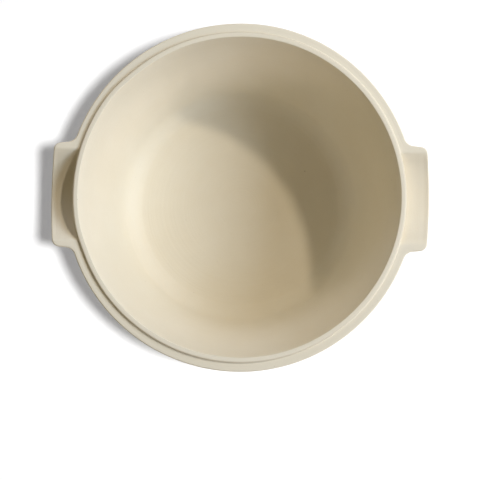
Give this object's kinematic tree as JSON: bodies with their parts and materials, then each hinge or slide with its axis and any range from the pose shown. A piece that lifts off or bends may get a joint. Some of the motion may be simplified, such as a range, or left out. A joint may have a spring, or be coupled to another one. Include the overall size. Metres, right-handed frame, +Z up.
{
  "type": "bread cloche",
  "caption": "Stoneware bread cloche: a deep round pot with a stepped rim and scooped side lugs, standing in its upturned shallow lid, which is also its baking plate.",
  "frame": {"origin": "middle of the face that the upturned lid stands on", "axes": "+X through the lugs, +Z up out of the pot's mouth, +Y level across the lugs"},
  "size_m": [0.289, 0.2636, 0.128],
  "materials": {
    "stoneware": "matte cream glaze"
  },
  "bodies": {
    "baking_lid": {"baking_lid": "stoneware"},
    "pot": {"pot": "stoneware"}
  },
  "joints": [
    {"name": "pot_lift", "type": "slide", "parent": "baking_lid", "child": "pot", "axis": [0, 0, 1], "range_m": [0, 0.15]}
  ]
}
